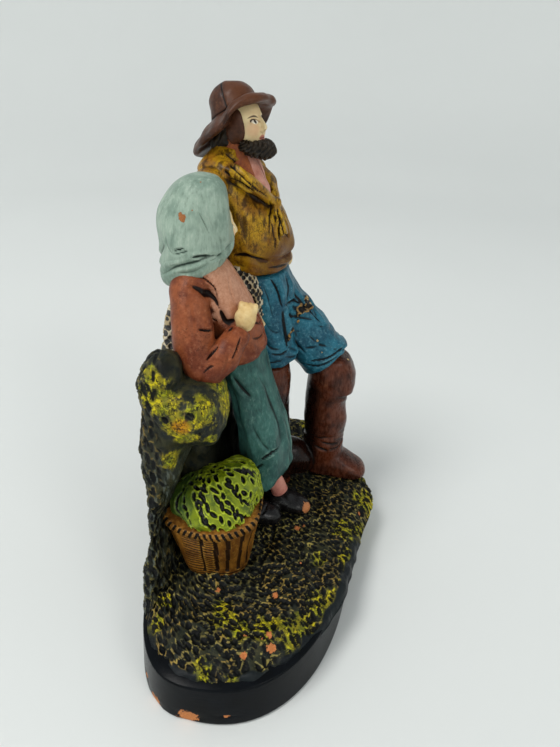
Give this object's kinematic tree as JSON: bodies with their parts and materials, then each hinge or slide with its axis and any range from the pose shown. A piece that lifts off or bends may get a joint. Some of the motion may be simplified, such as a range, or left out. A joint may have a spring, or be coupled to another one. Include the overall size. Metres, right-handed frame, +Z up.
{
  "type": "ceramic figurine",
  "caption": "Painted terracotta group of a fisherman in a broad-brimmed hat and a woman in a headscarf on a rocky mound with a basket of seaweed, over a black plinth",
  "frame": {"origin": "under the middle of the group's box, on the ground", "axes": "+Z up; the figures face -Y; they stand side by side along X, the woman on the -X side and the man on the +X side"},
  "size_m": [0.2418, 0.135, 0.2796],
  "materials": {
    "clay_group": "hand-painted terracotta, satin"
  },
  "bodies": {
    "root": {"fisherfolk_group": "clay_group"}
  },
  "joints": []
}
